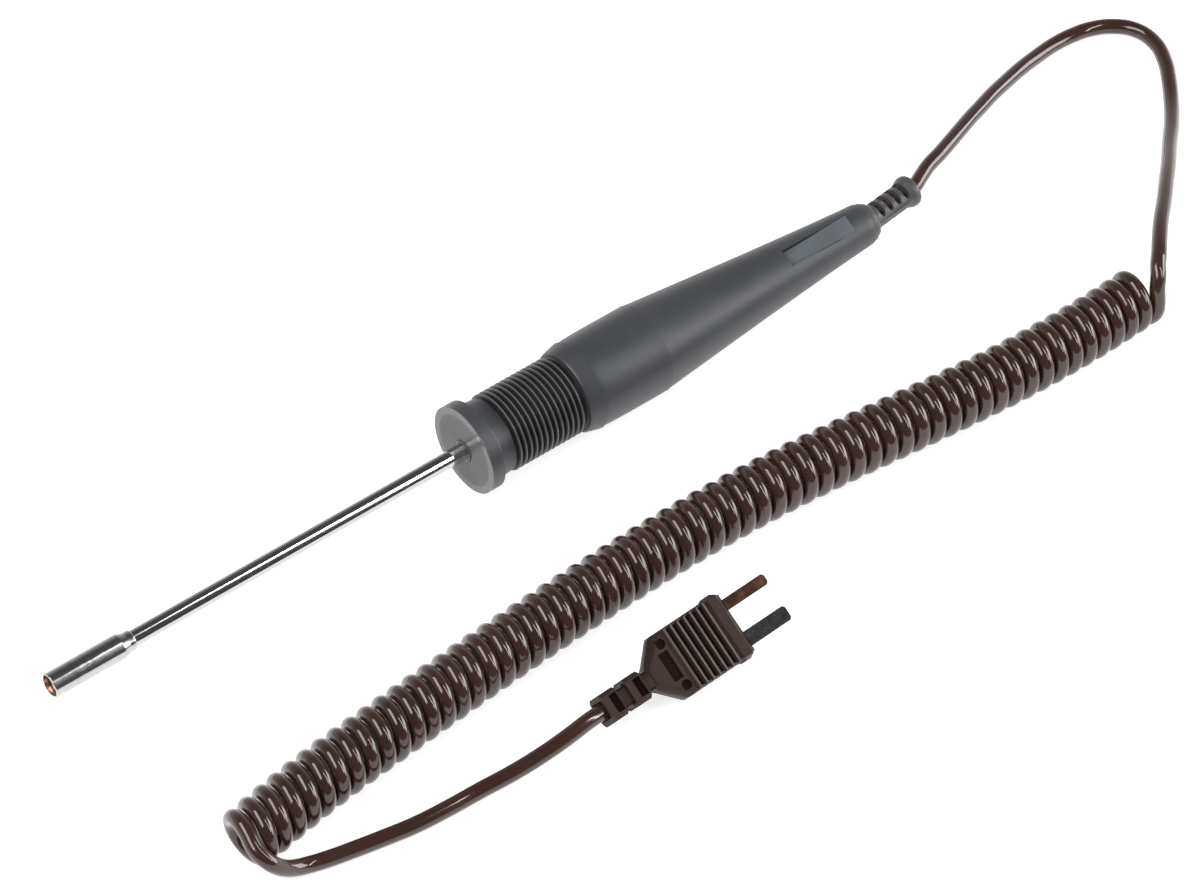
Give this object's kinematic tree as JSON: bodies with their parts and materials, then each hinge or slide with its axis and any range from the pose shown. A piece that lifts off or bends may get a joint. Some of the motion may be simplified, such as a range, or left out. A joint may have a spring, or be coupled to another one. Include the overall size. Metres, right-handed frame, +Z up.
{
  "type": "surface temperature probe",
  "caption": "Hand-held thermocouple surface probe: sprung contact tip on a thin steel stem, ribbed tapered handle with a guard, curly cord and miniature flat-pin plug.",
  "frame": {"origin": "on the surface that the probe lies on, below the middle of its length from the tip's rim to the end of the cord relief", "axes": "+X from the tip towards the cord, +Y to the left of the probe seen from the cord's end, +Z up"},
  "size_m": [0.2982, 0.0994, 0.0196],
  "materials": {
    "steel": "polished stainless steel",
    "brass_part": "turned brass",
    "copper": "bare copper, lightly tarnished",
    "constantan": "dull grey copper-nickel",
    "ceramic": "dark insulating moulding",
    "handle_plastic": "fine satin dark grey moulding",
    "relief_rubber": "matte dark grey flexible moulding",
    "label": "satin pale grey plate, bare",
    "shrink": "shrink tube",
    "cord_jacket": "glossy dark brown jacket",
    "core_white": "white core insulation",
    "plug_plastic": "semi-matte dark brown moulding"
  },
  "bodies": {
    "probe": {"contact_disc": "copper", "disc_holder": "ceramic", "tip_spring": "steel", "stop_collar": "brass_part", "copper_wire": "copper", "constantan_wire": "constantan", "wire_insulator": "ceramic", "stem_tube": "steel", "stem_bush": "relief_rubber", "stem_anchor": "brass_part", "handle_front": "handle_plastic", "handle_rear": "handle_plastic", "label_plate": "label", "cable_relief": "relief_rubber", "cord_clamp": "brass_part", "cord_inner": "cord_jacket", "copper_splice": "brass_part", "constantan_splice": "brass_part", "splice_sleeve": "shrink", "copper_core": "cord_jacket", "constantan_core": "core_white", "cord_lead": "cord_jacket", "cord_coil": "cord_jacket", "cord_tail": "cord_jacket", "plug_body": "plug_plastic", "plug_carrier": "ceramic", "copper_blade": "copper", "constantan_blade": "constantan", "copper_crimp": "brass_part", "constantan_crimp": "brass_part", "copper_plug_core": "cord_jacket", "constantan_plug_core": "core_white", "plug_cord_end": "cord_jacket"},
    "tip_shroud": {"tip_sleeve": "steel", "seat_ring": "brass_part"}
  },
  "joints": [
    {"name": "sleeve_slide", "type": "slide", "parent": "probe", "child": "tip_shroud", "axis": [1, 0, 0], "range_m": [0, 0.0012], "stiffness_N_per_m": 500, "springref_m": -0.001, "deforming": ["tip_spring"]}
  ]
}
